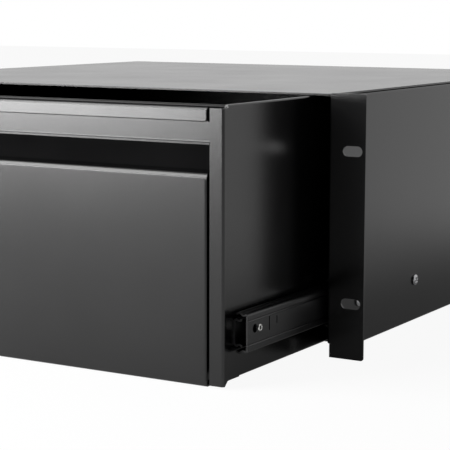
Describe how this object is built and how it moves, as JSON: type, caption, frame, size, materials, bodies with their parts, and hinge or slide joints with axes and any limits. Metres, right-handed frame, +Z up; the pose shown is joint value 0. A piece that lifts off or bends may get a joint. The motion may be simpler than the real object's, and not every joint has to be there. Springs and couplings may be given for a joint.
{
  "type": "sliding rack drawer",
  "caption": "Rack-mount drawer: sheet-steel housing with slotted ears and a drawer with a finger-pull front on ball-bearing telescopic slides.",
  "frame": {"origin": "centre of the four rack slots, on the rear face of the ears", "axes": "+X to the right seen from the front, +Y into the rack, +Z up; the drawer is stored 114.4 mm open"},
  "size_m": [0.4826, 0.533, 0.177],
  "materials": {
    "housing_coat": "fine-textured matt black powder coat",
    "drawer_coat": "fine-textured matt black powder coat",
    "front_coat": "satin black powder coat",
    "rail_steel": "black passivated steel",
    "cage_steel": "plated",
    "ball_steel": "polished",
    "black_screw": "black oxide, shiny",
    "plated_rivet": "zinc plated"
  },
  "bodies": {
    "housing": {"side_panel_left": "housing_coat", "side_panel_right": "housing_coat", "top_cover": "housing_coat", "back_panel": "housing_coat", "base_pan": "housing_coat", "back_panel_screws": "black_screw", "rail_screws_left": "black_screw", "rail_screws_right": "black_screw", "outer_rail_left": "rail_steel", "outer_rail_right": "rail_steel"},
    "outer_cages": {"outer_cage_left": "cage_steel", "outer_cage_right": "cage_steel", "outer_balls_left": "ball_steel", "outer_balls_right": "ball_steel"},
    "middle_slides": {"middle_rail_left": "rail_steel", "middle_rail_right": "rail_steel", "middle_rivet_left": "plated_rivet", "middle_rivet_right": "plated_rivet"},
    "inner_cages": {"inner_cage_left": "cage_steel", "inner_cage_right": "cage_steel", "inner_balls_left": "ball_steel", "inner_balls_right": "ball_steel"},
    "drawer": {"drawer_side_left": "drawer_coat", "drawer_side_right": "drawer_coat", "drawer_bottom": "drawer_coat", "drawer_back": "drawer_coat", "inner_front_wall": "drawer_coat", "front_panel": "front_coat", "pull_bar": "front_coat", "front_panel_screws": "black_screw", "inner_rail_left": "rail_steel", "inner_rail_right": "rail_steel", "drawer_rail_screws_left": "black_screw", "drawer_rail_screws_right": "black_screw"}
  },
  "joints": [
    {"name": "middle_slide", "type": "slide", "parent": "housing", "child": "middle_slides", "axis": [0, -1, 0], "range_m": [-0.1144, 0.0806]},
    {"name": "outer_cage_slide", "type": "slide", "parent": "housing", "child": "outer_cages", "axis": [0, -1, 0], "range_m": [-0.0572, 0.0403]},
    {"name": "drawer_slide", "type": "slide", "parent": "middle_slides", "child": "drawer", "axis": [0, -1, 0], "range_m": [0, 0.2]},
    {"name": "inner_cage_slide", "type": "slide", "parent": "middle_slides", "child": "inner_cages", "axis": [0, -1, 0], "range_m": [0, 0.1]}
  ],
  "couplings": [
    {"joint": "outer_cage_slide", "follows": "middle_slide", "ratio": 0.5},
    {"joint": "inner_cage_slide", "follows": "drawer_slide", "ratio": 0.5}
  ]
}
